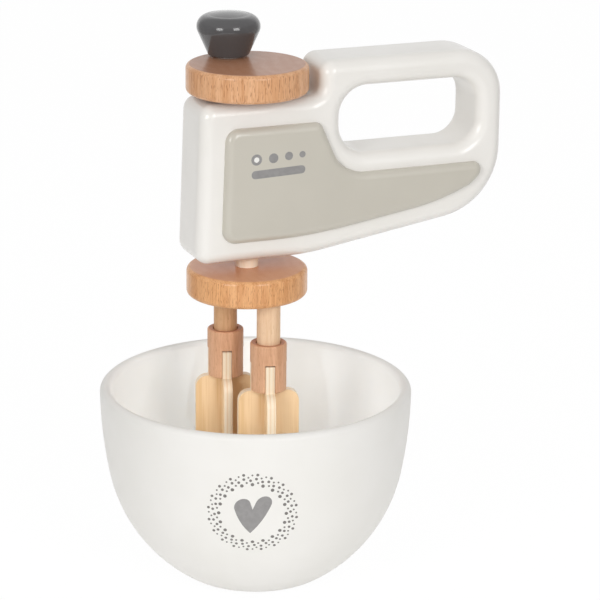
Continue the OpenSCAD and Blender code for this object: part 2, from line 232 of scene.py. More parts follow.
def plate_rows(front, back, front_edge, back_edge):
    """Rows across a plate as (y, inset, part of the normal that is outward, part along Y).

    An edge is a quarter of an ellipse, given as (depth along Y, inset from the outline).
    """
    rows = []
    for start, (depth, inset), sense in ((front, front_edge, 1), (back, back_edge, -1)):
        side = []
        for k in range(EDGE_STEPS + 1):
            turn = k * math.pi / 2 / EDGE_STEPS
            s, c = math.sin(turn), math.cos(turn)
            y = start + sense * depth * (1 - c)
            side.append((y, inset * (1 - s), s * depth, -sense * c * inset))
        rows += side[::sense]
    return rows


def plate(outline, rows, hole=None):
    """Plate square to Y with rounded edges, and with an opening that flares the same way."""
    skin = Skin()
    ends = ([], [])
    for ring, sense in ((outline, 1), (hole, -1)):
        if ring is None:
            continue
        loops = []
        for y, inset, out, along in rows:
            loop = []
            for place, normal in ring:
                spot = place - sense * inset * normal
                facing = sense * out * normal
                loop.append(skin.point((spot.x, y, spot.y), (facing.x, along, facing.y)))
            loops.append(loop)
        for loop, other in zip(loops, loops[1:]):
            skin.strip(loop, other)
        ends[0].append(loops[0])
        ends[1].append(loops[-1])
    for loops in ends:
        skin.cap(*loops)
    return skin


def carved(obj, cutters):
    """Cuts the cutters' shapes out of an object, and softens the edges that this leaves."""
    for cutter in cutters:
        cut = obj.modifiers.new("cut", "BOOLEAN")
        cut.operation = "DIFFERENCE"
        cut.solver = "EXACT"
        cut.object = cutter
    bpy.context.view_layer.update()
    ready = obj.evaluated_get(bpy.context.evaluated_depsgraph_get())
    mesh = bpy.data.meshes.new_from_object(ready)
    obj.modifiers.clear()
    obj.data = mesh
    for cutter in cutters:
        bpy.data.objects.remove(cutter)
    mesh.set_sharp_from_angle(angle=CARVED_SHARP)
    weigh = obj.modifiers.new("weigh", "WEIGHTED_NORMAL")
    weigh.keep_sharp = True
    return obj


def block(size, at, turn):
    """Plain box that cuts, from its size and the middle of its lowest face."""
    skin = Skin()
    ends = ((-0.5, 0.5), (-0.5, 0.5), (0, 1))
    middle = Vector((0, 0, size[2] / 2))
    corners = {}
    for corner in itertools.product(*ends):
        place = [share * length for share, length in zip(corner, size)]
        corners[corner] = skin.point(place, UP)
    for axis, values in enumerate(ends):
        for value in values:
            a, b, c, d = (corners[corner] for corner in corners if corner[axis] == value)
            quad = [a, b, d, c]
            spots = [skin.points[i] for i in quad]
            facing = (spots[1] - spots[0]).cross(spots[2] - spots[0])
            skin.faces.append(quad if facing.dot(spots[0] - middle) > 0 else quad[::-1])
    return skin.piece("cutter", None, at, turn, own_normals=False)


# Materials

def srgb(*levels):
    """Linear colour, with alpha, from sRGB levels of 0 to 255."""
    shares = (level / 255 for level in levels)
    return [s / 12.92 if s <= 0.04045 else ((s + 0.055) / 1.055) ** 2.4 for s in shares] + [1]


class Nodes:
    """Short ways to add nodes to a tree; a value is a number, a colour or another node's socket."""

    # First input and output of a mix node, by what it mixes
    MIX_SOCKETS = {"FLOAT": (2, 0), "RGBA": (6, 2)}

    def __init__(self, tree):
        self.tree = tree

    def add(self, kind):
        return self.tree.nodes.new(kind)

    def put(self, value, socket):
        if isinstance(value, bpy.types.NodeSocket):
            self.tree.links.new(value, socket)
        else:
            socket.default_value = value

    def math(self, operation, a, b=0.0):
        node = self.add("ShaderNodeMath")
        node.operation = operation
        self.put(a, node.inputs[0])
        self.put(b, node.inputs[1])
        return node.outputs[0]

    def summed(self, *parts):
        """Sum of (value, weight) pairs."""
        total, *rest = (self.math("MULTIPLY", value, weight) for value, weight in parts)
        for part in rest:
            total = self.math("ADD", total, part)
        return total

    def ranged(self, value, low, high, to_low=0.0, to_high=1.0):
        """Runs smoothly from to_low to to_high as the value goes from low to high."""
        node = self.add("ShaderNodeMapRange")
        node.interpolation_type = "SMOOTHSTEP"
        self.put(value, node.inputs["Value"])
        self.put(low, node.inputs["From Min"])
        self.put(high, node.inputs["From Max"])
        self.put(to_low, node.inputs["To Min"])
        self.put(to_high, node.inputs["To Max"])
        return node.outputs["Result"]

    def mixed(self, share, value, other, kind="RGBA"):
        node = self.add("ShaderNodeMix")
        node.data_type = kind
        first, out = self.MIX_SOCKETS[kind]
        self.put(share, node.inputs[0])
        self.put(value, node.inputs[first])
        self.put(other, node.inputs[first + 1])
        return node.outputs[out]


class Paint(Nodes):
    """A principled material, and patterns by the object's own coordinates."""

    def __init__(self, name, roughness, specular=0.5, coat=0.0, coat_roughness=0.1):
        self.material = bpy.data.materials.new(name)
        self.material.use_nodes = True
        super().__init__(self.material.node_tree)
        self.shader = self.tree.nodes["Principled BSDF"]
        self.shader.inputs["Roughness"].default_value = roughness
        self.shader.inputs["Specular IOR Level"].default_value = specular
        self.shader.inputs["Coat Weight"].default_value = coat
        self.shader.inputs["Coat Roughness"].default_value = coat_roughness
        self.coords = self.add("ShaderNodeTexCoord")

    def noise(self, across, along, detail, shift=(0, 0, 0)):
        """Noise whose blobs are this many millimetres wide, and this long in Z."""
        place = self.add("ShaderNodeMapping")
        self.put(self.coords.outputs["Object"], place.inputs["Vector"])
        place.inputs["Scale"].default_value = (1 / across / MM, 1 / across / MM, 1 / along / MM)
        place.inputs["Location"].default_value = shift
        noise = self.add("ShaderNodeTexNoise")
        self.put(place.outputs["Vector"], noise.inputs["Vector"])
        noise.inputs["Scale"].default_value = 1
        noise.inputs["Detail"].default_value = detail
        return noise.outputs["Fac"]

    def facing(self, axis):
        """How far the surface looks along an axis of the object, from 0 to 1."""
        split = self.add("ShaderNodeSeparateXYZ")
        self.put(self.coords.outputs["Normal"], split.inputs[0])
        return self.math("ABSOLUTE", split.outputs[axis])

    def place(self, axis):
        """Object coordinate along an axis, in millimetres."""
        split = self.add("ShaderNodeSeparateXYZ")
        self.put(self.coords.outputs["Object"], split.inputs[0])
        return self.math("DIVIDE", split.outputs[axis], MM)

    def bump(self, value, depth, strength):
        """Bump of this depth in millimetres."""
        node = self.add("ShaderNodeBump")
        node.inputs["Strength"].default_value = strength
        node.inputs["Distance"].default_value = depth * MM
        self.put(value, node.inputs["Height"])
        self.put(node.outputs["Normal"], self.shader.inputs["Normal"])

    def finish(self, colour, roughness):
        self.put(colour, self.shader.inputs["Base Color"])
        self.put(roughness, self.shader.inputs["Roughness"])
        return self.material


# Millimetres across the blobs and fibres that the patterns are made of
DRIFT = 38
ORANGE_PEEL = 1.6
WEAR = 9
RING_GAP = 2.6
PLY_FIBRE = 0.7
MOTTLE = 2.2
# Where a noise turns from one tone to the other
NOISE_SPAN = (0.3, 0.7)


def lacquer(name, tone, shade, roughness, coat, coat_roughness, specular=0.5):
    """Opaque lacquer on wood: slight orange peel and a tone that drifts a little."""
    paint = Paint(name, roughness, specular, coat, coat_roughness)
    drift = paint.ranged(paint.noise(DRIFT, DRIFT, detail=3), *NOISE_SPAN)
    wear = paint.noise(WEAR, WEAR, detail=4)
    paint.bump(paint.noise(ORANGE_PEEL, ORANGE_PEEL, detail=1), depth=0.012, strength=0.6)
    return paint.finish(paint.mixed(drift, tone, shade),
                        paint.ranged(wear, 0.35, 0.7, roughness - 0.04, roughness + 0.05))


def wood(name, light, dark, fleck, end, streak, flecks, roughness, coat):
    """Clear-lacquered wood with its grain along Z, and with the end tone on its ends.

    streak is the width of its streaks in millimetres, and flecks the strength of its flecks.
    """
    paint = Paint(name, roughness, specular=0.12, coat=coat, coat_roughness=0.17)
    # The grain is made of fine streaks, broad bands and year rings that waver
    fine = paint.noise(streak, streak * 16, detail=3)
    broad = paint.noise(streak * 9, streak * 90, detail=2)
    rings = paint.math("ADD", paint.math("DIVIDE", paint.place(0), RING_GAP),
                       paint.math("MULTIPLY", paint.noise(30, 120, detail=2), 7))
    grain = paint.summed((fine, 0.55), (broad, 0.35), (paint.math("PINGPONG", rings, 1.0), 0.1))
    body = paint.mixed(paint.ranged(grain, 0.33, 0.69), light, dark)
    # Flecks are short dark dashes along it
    pores = paint.noise(streak * 0.5, streak * 4.5, detail=1, shift=(3, 7, 1))
    marks = paint.math("MULTIPLY", paint.ranged(pores, 0.58, 0.7), flecks)
    body = paint.mixed(marks, body, fleck)
    ends = paint.ranged(paint.facing(2), 0.93, 0.995)
    body = paint.mixed(ends, body, paint.mixed(0.85, body, end))
    paint.bump(paint.math("SUBTRACT", grain, marks), depth=0.03, strength=0.35)
    return paint.finish(body, paint.ranged(grain, *NOISE_SPAN, roughness - 0.05, roughness + 0.06))


def plywood(name, face, face_dark, ply, cross_ply, glue, thickness, plies):
    """Birch plywood: long grain on the faces, and plies with glue lines on the edges."""
    paint = Paint(name, 0.5, coat=0.12, coat_roughness=0.25)
    fine = paint.noise(PLY_FIBRE, 30, detail=3)
    grain = paint.summed((fine, 0.5), (paint.noise(6, 90, detail=2), 0.5))
    faces = paint.mixed(paint.ranged(grain, 0.38, 0.64), face, face_dark)
    # Plies are counted across the thickness and waver a little, with a glue line between each two
    layer = paint.math("ADD", paint.math("MULTIPLY", paint.place(1), plies / thickness), plies / 2)
    layer = paint.math("ADD", layer, paint.math("MULTIPLY", paint.noise(14, 14, detail=1), 0.2))
    edge = paint.mixed(paint.ranged(paint.math("PINGPONG", layer, 1.0), 0.35, 0.65), ply, cross_ply)
    line = paint.math("ABSOLUTE", paint.math("SUBTRACT", paint.math("FRACT", layer), 0.5))
    edge = paint.mixed(paint.math("MULTIPLY", paint.ranged(line, 0.4, 0.48), 0.5), edge, glue)
    edge = paint.mixed(paint.ranged(fine, 0.45, 0.75, 0, 0.35), edge, cross_ply)
    flat = paint.ranged(paint.facing(1), 0.6, 0.9)
    paint.bump(grain, depth=0.03, strength=0.3)
    return paint.finish(paint.mixed(flat, edge, faces),
                        paint.ranged(grain, *NOISE_SPAN, 0.46, 0.56))


def ink(name, tone, shade):
    """Screen print: even, with a slight mottle."""
    paint = Paint(name, 0.5)
    mottle = paint.ranged(paint.noise(MOTTLE, MOTTLE, detail=4), *NOISE_SPAN)
    return paint.finish(paint.mixed(mottle, tone, shade), paint.ranged(mottle, 0, 1, 0.45, 0.55))


def plain(name, tone, shade, roughness, metallic=0.0):
    """Small fittings: washers and the screw."""
    paint = Paint(name, roughness)
    paint.shader.inputs["Metallic"].default_value = metallic
    cloud = paint.ranged(paint.noise(1.2, 6, detail=3), *NOISE_SPAN)
    paint.bump(cloud, depth=0.01, strength=0.4)
    return paint.finish(paint.mixed(cloud, tone, shade),
                        paint.ranged(cloud, 0, 1, roughness - 0.05, roughness + 0.05))


# Paddles are made of this plywood
PLYWOOD_T = 4
PLIES = 5

BOWL_PAINT = lacquer(
    "bowl_matte_white", srgb(233, 231, 227), srgb(230, 228, 223),
    roughness=0.55, coat=0.0, coat_roughness=0.3)
HOUSING_PAINT = lacquer(
    "warm_white_lacquer", srgb(238, 235, 230), srgb(235, 232, 226),
    roughness=0.38, coat=0.4, coat_roughness=0.12)
PANEL_PAINT = lacquer(
    "greige_lacquer", srgb(199, 194, 182), srgb(195, 190, 178),
    roughness=0.4, coat=0.5, coat_roughness=0.1)
KNOB_PAINT = lacquer(
    "slate_gloss_lacquer", srgb(87, 86, 87), srgb(82, 81, 82),
    roughness=0.4, coat=0.9, coat_roughness=0.08, specular=0.1)
BEECH = wood(
    "beech_lacquered", light=srgb(229, 180, 139), dark=srgb(206, 149, 103),
    fleck=srgb(150, 92, 54), end=srgb(170, 120, 93),
    streak=0.65, flecks=0.65, roughness=0.42, coat=0.45)
# The beater disc's end tone is lighter than the crank disc's. It is partly the wood's own end grain
# and partly painted light and painted reflection from the housing's pale underside above it.
BEECH_ORANGE = wood(
    "beech_orange", light=srgb(233, 178, 126), dark=srgb(206, 144, 92),
    fleck=srgb(154, 92, 50), end=srgb(217, 159, 124),
    streak=0.5, flecks=0.62, roughness=0.42, coat=0.5)
COLLAR_BEECH = wood(
    "beech_pinkish", light=srgb(225, 177, 142), dark=srgb(205, 154, 118),
    fleck=srgb(171, 115, 82), end=srgb(180, 126, 96),
    streak=0.6, flecks=0.35, roughness=0.5, coat=0.15)
# The spacer sleeve's wood is lighter than its own tone: painted light that lifts the shade it sits
# in under the housing.
SLEEVE_WOOD_PAINTED_LIGHT = wood(
    "sleeve_wood_painted_light", light=srgb(255, 240, 220), dark=srgb(253, 233, 207),
    fleck=srgb(234, 199, 160), end=srgb(226, 190, 150),
    streak=0.6, flecks=0.2, roughness=0.5, coat=0.1)
PALE_BEECH = wood(
    "beech_pale", light=srgb(240, 208, 174), dark=srgb(229, 191, 153),
    fleck=srgb(202, 156, 116), end=srgb(214, 172, 130),
    streak=0.6, flecks=0.3, roughness=0.5, coat=0.15)
# The rear dowel's beech is darker than the front one's: partly the wood's own tone, partly painted
# shade from the front dowel and beater in front of it.
REAR_DOWEL_BEECH_AND_SHADE = wood(
    "beech_rear_dowel_tone_and_shade", light=srgb(218, 178, 138), dark=srgb(202, 156, 113),
    fleck=srgb(172, 120, 78), end=srgb(196, 150, 108),
    streak=0.6, flecks=0.35, roughness=0.5, coat=0.15)
BIRCH_PLY = plywood(
    "birch_plywood", face=srgb(242, 209, 166), face_dark=srgb(229, 191, 141),
    ply=srgb(248, 234, 212), cross_ply=srgb(240, 215, 182), glue=srgb(214, 180, 141),
    thickness=PLYWOOD_T, plies=PLIES)
PRINT_GREY = ink("print_grey", srgb(147, 145, 144), srgb(139, 137, 136))
PRINT_DARK = ink("print_dark_grey", srgb(122, 119, 115), srgb(112, 109, 105))
PRINT_WHITE = ink("print_white", srgb(238, 236, 232), srgb(232, 230, 226))
NYLON = plain("natural_nylon", srgb(231, 229, 222), srgb(222, 219, 211), roughness=0.45)
STEEL = plain(
    "zinc_plated_steel", srgb(188, 190, 194), srgb(172, 175, 180), roughness=0.3, metallic=1.0)


def on_body(piece, body):
    """Makes a piece ride on a body."""
    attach(piece, body)


def shown(piece, node, body):
    """Puts a piece in a CAD node's stead."""
    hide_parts(node)
    on_body(piece, body)


# Bowl

BOWL_WALL = 5
BOWL_FLOOR = 8
# The side's curve runs into the base's curve at this angle below level
BOWL_SIDE_R = 199
BOWL_BASE_R = 69
BOWL_TURN = 10.8 * DEG
# Fillets between the base's curve and the foot, and the inner floor
BOWL_FOOT_R = 16
BOWL_FLOOR_R = 9
BOWL_STEPS = 28

BOWL_LO, BOWL_HI, _ = box_mm("bowl")
BOWL_R = (BOWL_HI.x - BOWL_LO.x) / 2
BOWL_SIDE_C = Vector((BOWL_R - BOWL_SIDE_R, BOWL_HI.z))
BOWL_BASE_C = BOWL_SIDE_C + (BOWL_SIDE_R - BOWL_BASE_R) * Vector(
    (math.cos(BOWL_TURN), -math.sin(BOWL_TURN)))


def base_fillet(lowest, fillet, reach):
    """Centre of a fillet between a level and the base's curve, and the angle where they meet."""
    drop = BOWL_BASE_C.y - lowest - fillet
    out = math.sqrt((reach - fillet) ** 2 - drop ** 2)
    return Vector((BOWL_BASE_C.x + out, lowest + fillet)), -math.atan2(drop, out)


def bowl_profile():
    lip_r = BOWL_WALL / 2
    lip = Vector((BOWL_R - lip_r, BOWL_HI.z - lip_r))
    side_in = BOWL_SIDE_R - BOWL_WALL
    base_in = BOWL_BASE_R - BOWL_WALL
    foot, foot_turn = base_fillet(0, BOWL_FOOT_R, BOWL_BASE_R)
    floor, floor_turn = base_fillet(BOWL_FLOOR, BOWL_FLOOR_R, base_in)
    return joined(
        [(Vector((0, 0)), Vector((0, -1)))],
        arc(foot, BOWL_FOOT_R, -math.pi / 2, foot_turn, BOWL_STEPS),
        arc(BOWL_BASE_C, BOWL_BASE_R, foot_turn, -BOWL_TURN, BOWL_STEPS),
        arc(BOWL_SIDE_C, BOWL_SIDE_R, -BOWL_TURN, -math.asin(lip_r / BOWL_SIDE_R), BOWL_STEPS),
        arc(lip, lip_r, 0, math.pi, BOWL_STEPS),
        arc(BOWL_SIDE_C, side_in, -math.asin(lip_r / side_in), -BOWL_TURN, BOWL_STEPS, -1),
        arc(BOWL_BASE_C, base_in, -BOWL_TURN, floor_turn, BOWL_STEPS, -1),
        arc(floor, BOWL_FLOOR_R, floor_turn, -math.pi / 2, SMALL_STEPS, -1),
        [(Vector((0, BOWL_FLOOR)), Vector((0, 1)))],
    )


bowl = turned(bowl_profile()).piece("bowl_shell", BOWL_PAINT)
shown(bowl, "bowl", "bowl")


# Prints are thin closed patches that follow the face under them

PRINT_LIFT = 0.02
PRINT_SINK = 0.05
DOT_POINTS = 14


def patch(skin, outline, place, rings=1, lift=PRINT_LIFT):
    """Adds a print whose outline can be seen whole from its middle.

    place gives a point (u, v) of the print its spot and normal on a face, at a level above it.
    """
    middle = sum(outline, Vector((0, 0))) / len(outline)
    loops = []
    for level, sense in ((lift, 1), (-PRINT_SINK, -1)):
        spot, normal = place(middle, level)
        loop = [skin.point(spot, sense * normal)] * len(outline)
        for k in range(1, rings + 1):
            other = []
            for q in outline:
                spot, normal = place(middle.lerp(q, k / rings), level)
                other.append(skin.point(spot, sense * normal))
            skin.strip(loop, other)
            loop = other
        loops.append(loop)
    top, low = loops
    for i in range(len(top)):
        skin.faces.append([top[i - 1], low[i - 1], low[i], top[i]])


def dot(u, v, radius):
    turns = (2 * math.pi * k / DOT_POINTS for k in range(DOT_POINTS))
    return [Vector((u + radius * math.cos(t), v + radius * math.sin(t))) for t in turns]


HEART_TURN = -112 * DEG
HEART_Z = 50
# The heart is drawn upright about its own middle, then sheared, as if drawn by hand
HEART_MIDDLE = Vector((-0.2, -0.7))
HEART_TIP = -8.6
HEART_NOTCH = 3.0
HEART_LOBE = Vector((4.4, 5.2))
HEART_LOBE_R = 3.4
HEART_SIDE_R = 36
HEART_SHEAR = Matrix(((1, 0.089), (0.135, 1)))
HEART_STEPS = 16


def on_bowl(spot, lift):
    """Place and normal on the bowl's outer face; u runs round the bowl and v up its side."""
    turn = math.asin((HEART_Z - BOWL_SIDE_C.y) / BOWL_SIDE_R) + spot.y / BOWL_SIDE_R
    centre, radius = BOWL_SIDE_C, BOWL_SIDE_R
    if turn < -BOWL_TURN:
        turn = (turn + BOWL_TURN) * BOWL_SIDE_R / BOWL_BASE_R - BOWL_TURN
        centre, radius = BOWL_BASE_C, BOWL_BASE_R
    out = centre.x + radius * math.cos(turn)
    heading = HEART_TURN + spot.x / out
    ahead, aside = math.cos(heading), math.sin(heading)
    normal = Vector((math.cos(turn) * ahead, math.cos(turn) * aside, math.sin(turn)))
    flat = Vector((out * ahead, out * aside, centre.y + radius * math.sin(turn)))
    return flat + normal * lift, normal


def touching(point, centre, radius):
    """Angle on a circle where a line from a point touches its left side, seen from the point."""
    away = point - centre
    return math.atan2(away.y, away.x) - math.acos(radius / away.length)


def heart_outline():
    """Heart of two round lobes with a straight-sided notch, and curved sides that end in a tip."""
    tip, notch = Vector((0, HEART_TIP)), Vector((0, HEART_NOTCH))
    apart = HEART_LOBE - tip
    reach = HEART_SIDE_R - HEART_LOBE_R
    along = (HEART_SIDE_R ** 2 - reach ** 2 + apart.length_squared) / (2 * apart.length)
    across = math.sqrt(HEART_SIDE_R ** 2 - along ** 2)
    side = tip + apart.normalized() * along + Vector((-apart.y, apart.x)).normalized() * across
    meet = math.atan2(HEART_LOBE.y - side.y, HEART_LOBE.x - side.x)
    low = math.atan2(tip.y - side.y, tip.x - side.x)
    inner = touching(notch, HEART_LOBE, HEART_LOBE_R) % (2 * math.pi)
    right = joined(
        arc(side, HEART_SIDE_R, low, meet, HEART_STEPS),
        arc(HEART_LOBE, HEART_LOBE_R, meet, inner, HEART_STEPS),
        [(notch, UP)],
    )
    points = [place for place, _ in right]
    points += [Vector((-q.x, q.y)) for q in reversed(points[1:-1])]
    return [HEART_SHEAR @ q + HEART_MIDDLE for q in points]


heart = Skin()
patch(heart, heart_outline(), on_bowl, rings=6)
on_body(heart.piece("heart_print", PRINT_GREY), "bowl")

# A wreath of dots round the heart. Each repeat holds these, as (distance from the middle, share of
# a repeat, radius)
WREATH_REPEATS = 20
WREATH_DOTS = (
    (14.0, 0.0, 0.75),
    (14.9, 0.5, 0.45),
    (15.8, 0.15, 0.6),
    (16.6, 0.68, 0.6),
    (17.2, 0.3, 0.42),
    (18.5, 0.62, 0.62),
    (18.2, 0.0, 0.4),
)

wreath = Skin()
for repeat in range(WREATH_REPEATS):
    for distance, share, radius in WREATH_DOTS:
        turn = 2 * math.pi * (repeat + share) / WREATH_REPEATS
        patch(wreath, dot(distance * math.cos(turn), distance * math.sin(turn), radius), on_bowl)
on_body(wreath.piece("dot_wreath_print", PRINT_DARK), "bowl")


# Housing

HOUSING_EDGE = (5.5, 5.5)
# X is the distance from the drive axis, and H the height above the housing's bottom
NOSE_TOP_X = 24.6
NOSE_LOW_X = HOUSING_FOOT.x - HOUSING_LO.x
HANDLE_X = HOUSING_HI.x - HOUSING_FOOT.x
GRIP_H = HOUSING_HI.z - HOUSING_LO.z
END_PLAY = 0.1
DECK_H = box_mm("crank_washer")[0].z - END_PLAY - HOUSING_LO.z
STEP_X = 28.2
BELLY_X = 23
BELLY_RISE = 9.3 * DEG
# Corners
NOSE_R = 6
BELLY_R = 100
HANDLE_LOW_R = 30
HANDLE_TOP_R = 20
STEP_TOP_R = 6
STEP_FOOT_R = 5

# The finger opening, with the grip above it and the bar behind it
OPEN_LEN = 62.6
OPEN_H = 28.6
END_BAR = 11.8
GRIP_T = 12
OPEN_FRONT_R = 12.5
OPEN_BACK_R = 10.5
OPEN_BACK_X = HANDLE_X - END_BAR
OPEN_FRONT_X = OPEN_BACK_X - OPEN_LEN
OPEN_TOP_H = GRIP_H - GRIP_T
OPEN_LOW_H = OPEN_TOP_H - OPEN_H


def nose_x(h, margin=0.0):
    """Line of the nose at a height, moved in by a margin."""
    return margin - NOSE_LOW_X + (NOSE_LOW_X - NOSE_TOP_X) * h / DECK_H


HOUSING_CORNERS = [
    (nose_x(0), 0, NOSE_R),
    (BELLY_X, 0, BELLY_R),
    (HANDLE_X, (HANDLE_X - BELLY_X) * math.tan(BELLY_RISE), HANDLE_LOW_R),
    (HANDLE_X, GRIP_H, HANDLE_TOP_R),
    (STEP_X, GRIP_H, STEP_TOP_R),
    (STEP_X, DECK_H, STEP_FOOT_R),
    (nose_x(DECK_H), DECK_H, NOSE_R),
]
OPENING_CORNERS = [
    (OPEN_FRONT_X, OPEN_LOW_H, OPEN_FRONT_R),
    (OPEN_BACK_X, OPEN_LOW_H, OPEN_BACK_R),
    (OPEN_BACK_X, OPEN_TOP_H, OPEN_BACK_R),
    (OPEN_FRONT_X, OPEN_TOP_H, OPEN_FRONT_R),
]
HOUSING_HALF = (HOUSING_HI.y - HOUSING_LO.y) / 2

housing = plate(rounded(HOUSING_CORNERS),
                plate_rows(-HOUSING_HALF, HOUSING_HALF, HOUSING_EDGE, HOUSING_EDGE),
                hole=rounded(OPENING_CORNERS))
housing = housing.piece("housing_body", HOUSING_PAINT, HOUSING_FOOT)
shown(housing, "housing", "mixer")


# Front panel

PANEL_LO, PANEL_HI, _ = box_mm("front_panel")
PANEL_EDGE = (2.8, 3.4)
PANEL_SEAM = (0.15, 0.15)
PANEL_MARGIN = 10.2
PANEL_LOW_H = PANEL_LO.z - HOUSING_LO.z
PANEL_TOP_H = PANEL_HI.z - HOUSING_LO.z
PANEL_TIP_X = PANEL_HI.x - HOUSING_FOOT.x
PANEL_TAIL_GAP = 7.5
PANEL_TAIL_H = OPEN_LOW_H - PANEL_TAIL_GAP
PANEL_TOP_X = 27
PANEL_STEP_RISE = 66.5 * DEG
PANEL_RISE = 9.1 * DEG
# The lower edge turns up this far before the tip
PANEL_KICK = 21
PANEL_KICK_RISE = 22 * DEG
PANEL_TIP_RISE = 55 * DEG
# Corners
PANEL_NOSE_R = 5.8
PANEL_BEND_R = 230
PANEL_KICK_R = 100
PANEL_LOW_R = 14
PANEL_TIP_R = 3.6
PANEL_HOLLOW_R = 15.5
PANEL_TOP_R = 4


def meeting(p, rise_p, q, rise_q):
    """Where a line through p meets a line through q, each with its angle of rise."""
    slope_p, slope_q = math.tan(rise_p), math.tan(rise_q)
    x = (q.y - p.y + p.x * slope_p - q.x * slope_q) / (slope_p - slope_q)
    return Vector((x, p.y + (x - p.x) * slope_p))


def panel_corners():
    tip = Vector((PANEL_TIP_X - PANEL_TIP_R, PANEL_TAIL_H - PANEL_TIP_R))
    touch = tip + PANEL_TIP_R * Vector((math.sin(PANEL_TIP_RISE), -math.cos(PANEL_TIP_RISE)))
    bend = Vector((BELLY_X - PANEL_LOW_H * math.tan(BELLY_RISE / 2), PANEL_LOW_H))
    kick_x = PANEL_TIP_X - PANEL_KICK
    kick = Vector((kick_x, PANEL_LOW_H + (kick_x - bend.x) * math.tan(PANEL_RISE)))
    low = meeting(kick, PANEL_KICK_RISE, touch, PANEL_TIP_RISE)
    tail = Vector((0, PANEL_TAIL_H))
    high = meeting(tail, 0, touch, PANEL_TIP_RISE)
    hollow = meeting(tail, 0, Vector((PANEL_TOP_X, PANEL_TOP_H)), -PANEL_STEP_RISE)
    return [
        (nose_x(PANEL_LOW_H, PANEL_MARGIN), PANEL_LOW_H, PANEL_NOSE_R),
        (*bend, PANEL_BEND_R),
        (*kick, PANEL_KICK_R),
        (*low, PANEL_LOW_R),
        (*high, PANEL_TIP_R),
        (*hollow, PANEL_HOLLOW_R),
        (PANEL_TOP_X, PANEL_TOP_H, PANEL_TOP_R),
        (nose_x(PANEL_TOP_H, PANEL_MARGIN), PANEL_TOP_H, PANEL_NOSE_R),
    ]


panel_face = PANEL_LO.y - HOUSING_FOOT.y
panel = plate(rounded(panel_corners()),
              plate_rows(panel_face, PANEL_HI.y - HOUSING_FOOT.y, PANEL_EDGE, PANEL_SEAM))
panel = panel.piece("panel_body", PANEL_PAINT, HOUSING_FOOT)
shown(panel, "front_panel", "mixer")

# Speed marks: a row of dots that shrink, and the first one is a ring. Each is (distance from the
# drive axis, height, radius)
SPEED_RING = (-2.25, 44.75, 2.4)
SPEED_RING_EYE_R = 1.15
SPEED_DOTS = ((5.25, 44.85, 2.1), (12.05, 45.25, 1.8), (18.05, 45.45, 1.4))
# A bar below them, given at its left and right ends
SPEED_BAR_X = (-4.45, 19.35)
SPEED_BAR_H = (38.3, 39.1)
SPEED_BAR_T = 3.5
SPEED_BAR_FLAT = 0.1
SPEED_BAR_END_R = (SPEED_BAR_T - SPEED_BAR_FLAT) / 2


def on_panel(spot, lift):
    return Vector((spot.x, panel_face - lift, spot.y)), Vector((0, -1, 0))


def bar_outline():
    ends = list(zip(SPEED_BAR_X, SPEED_BAR_H))
    low = [(x, h - SPEED_BAR_T / 2, SPEED_BAR_END_R) for x, h in ends]
    high = [(x, h + SPEED_BAR_T / 2, SPEED_BAR_END_R) for x, h in reversed(ends)]
    return [place for place, _ in rounded(low + high)]


marks = Skin()
for mark in (SPEED_RING, *SPEED_DOTS):
    patch(marks, dot(*mark), on_panel)
patch(marks, bar_outline(), on_panel)
on_body(marks.piece("speed_print", PRINT_GREY, HOUSING_FOOT), "mixer")

eye = Skin()
patch(eye, dot(*SPEED_RING[:2], SPEED_RING_EYE_R), on_panel, lift=2 * PRINT_LIFT)
on_body(eye.piece("speed_print_eye", PRINT_WHITE, HOUSING_FOOT), "mixer")


# Discs, sleeve and washers

DISC_EDGE = 2
FITTING_EDGE = 0.25
SHAFT_R = 3
SCREW_R = 2
SCREW_BORE_R = 2.05
SCREW_POCKET_R = 4.3
SCREW_POCKET_H = 2.8
CUTTER_EDGE = 0.05
# Cutters reach this far out of what they cut
OVER = 1


def drill(radius, depth, at):
    """Round cutter, from the hole's radius and depth and its mouth's middle on a lower face."""
    rod = turned_rod(radius, depth + OVER, CUTTER_EDGE)
    return rod.piece("drill", None, at - OVER * UP, own_normals=False)


for node, paint in (("crank_disc", BEECH), ("beater_disc", BEECH_ORANGE)):
    disc = turned_rod(width(node) / 2, height(node), DISC_EDGE)
    disc = disc.piece(node + "_wood", paint, foot_of(node), own_normals=node != "crank_disc")
    if node == "crank_disc":
        mouth = foot_of("knob_screw")
        mouth.z = foot_of(node).z
        carved(disc, [drill(SCREW_POCKET_R, SCREW_POCKET_H, mouth),
                      drill(SCREW_BORE_R, height(node) + OVER, mouth)])
    shown(disc, node, "rotor")

for node, bore, body, paint, slot in (
    ("spacer_sleeve", SHAFT_R, "rotor", SLEEVE_WOOD_PAINTED_LIGHT, "pale_beech"),
    ("crank_washer", SHAFT_R, "rotor", NYLON, "nylon"),
    ("knob_washer", SCREW_R, "knob", NYLON, "nylon"),
):
    ring = turned_ring(width(node) / 2, bore, height(node), FITTING_EDGE)
    ring = ring.piece(node + "_turned", paint, foot_of(node))
    shown(ring, node, body)


# Knob

KNOB_FOOT_R = 8.5
KNOB_FOOT_EDGE = 0.8
KNOB_RIM_R = 5
KNOB_CROWN = 0.9
KNOB_STEPS = 20
# The crown springs from the rim in a soft line, this much of the arcs' ends being left to it
KNOB_LINE = 2 * DEG


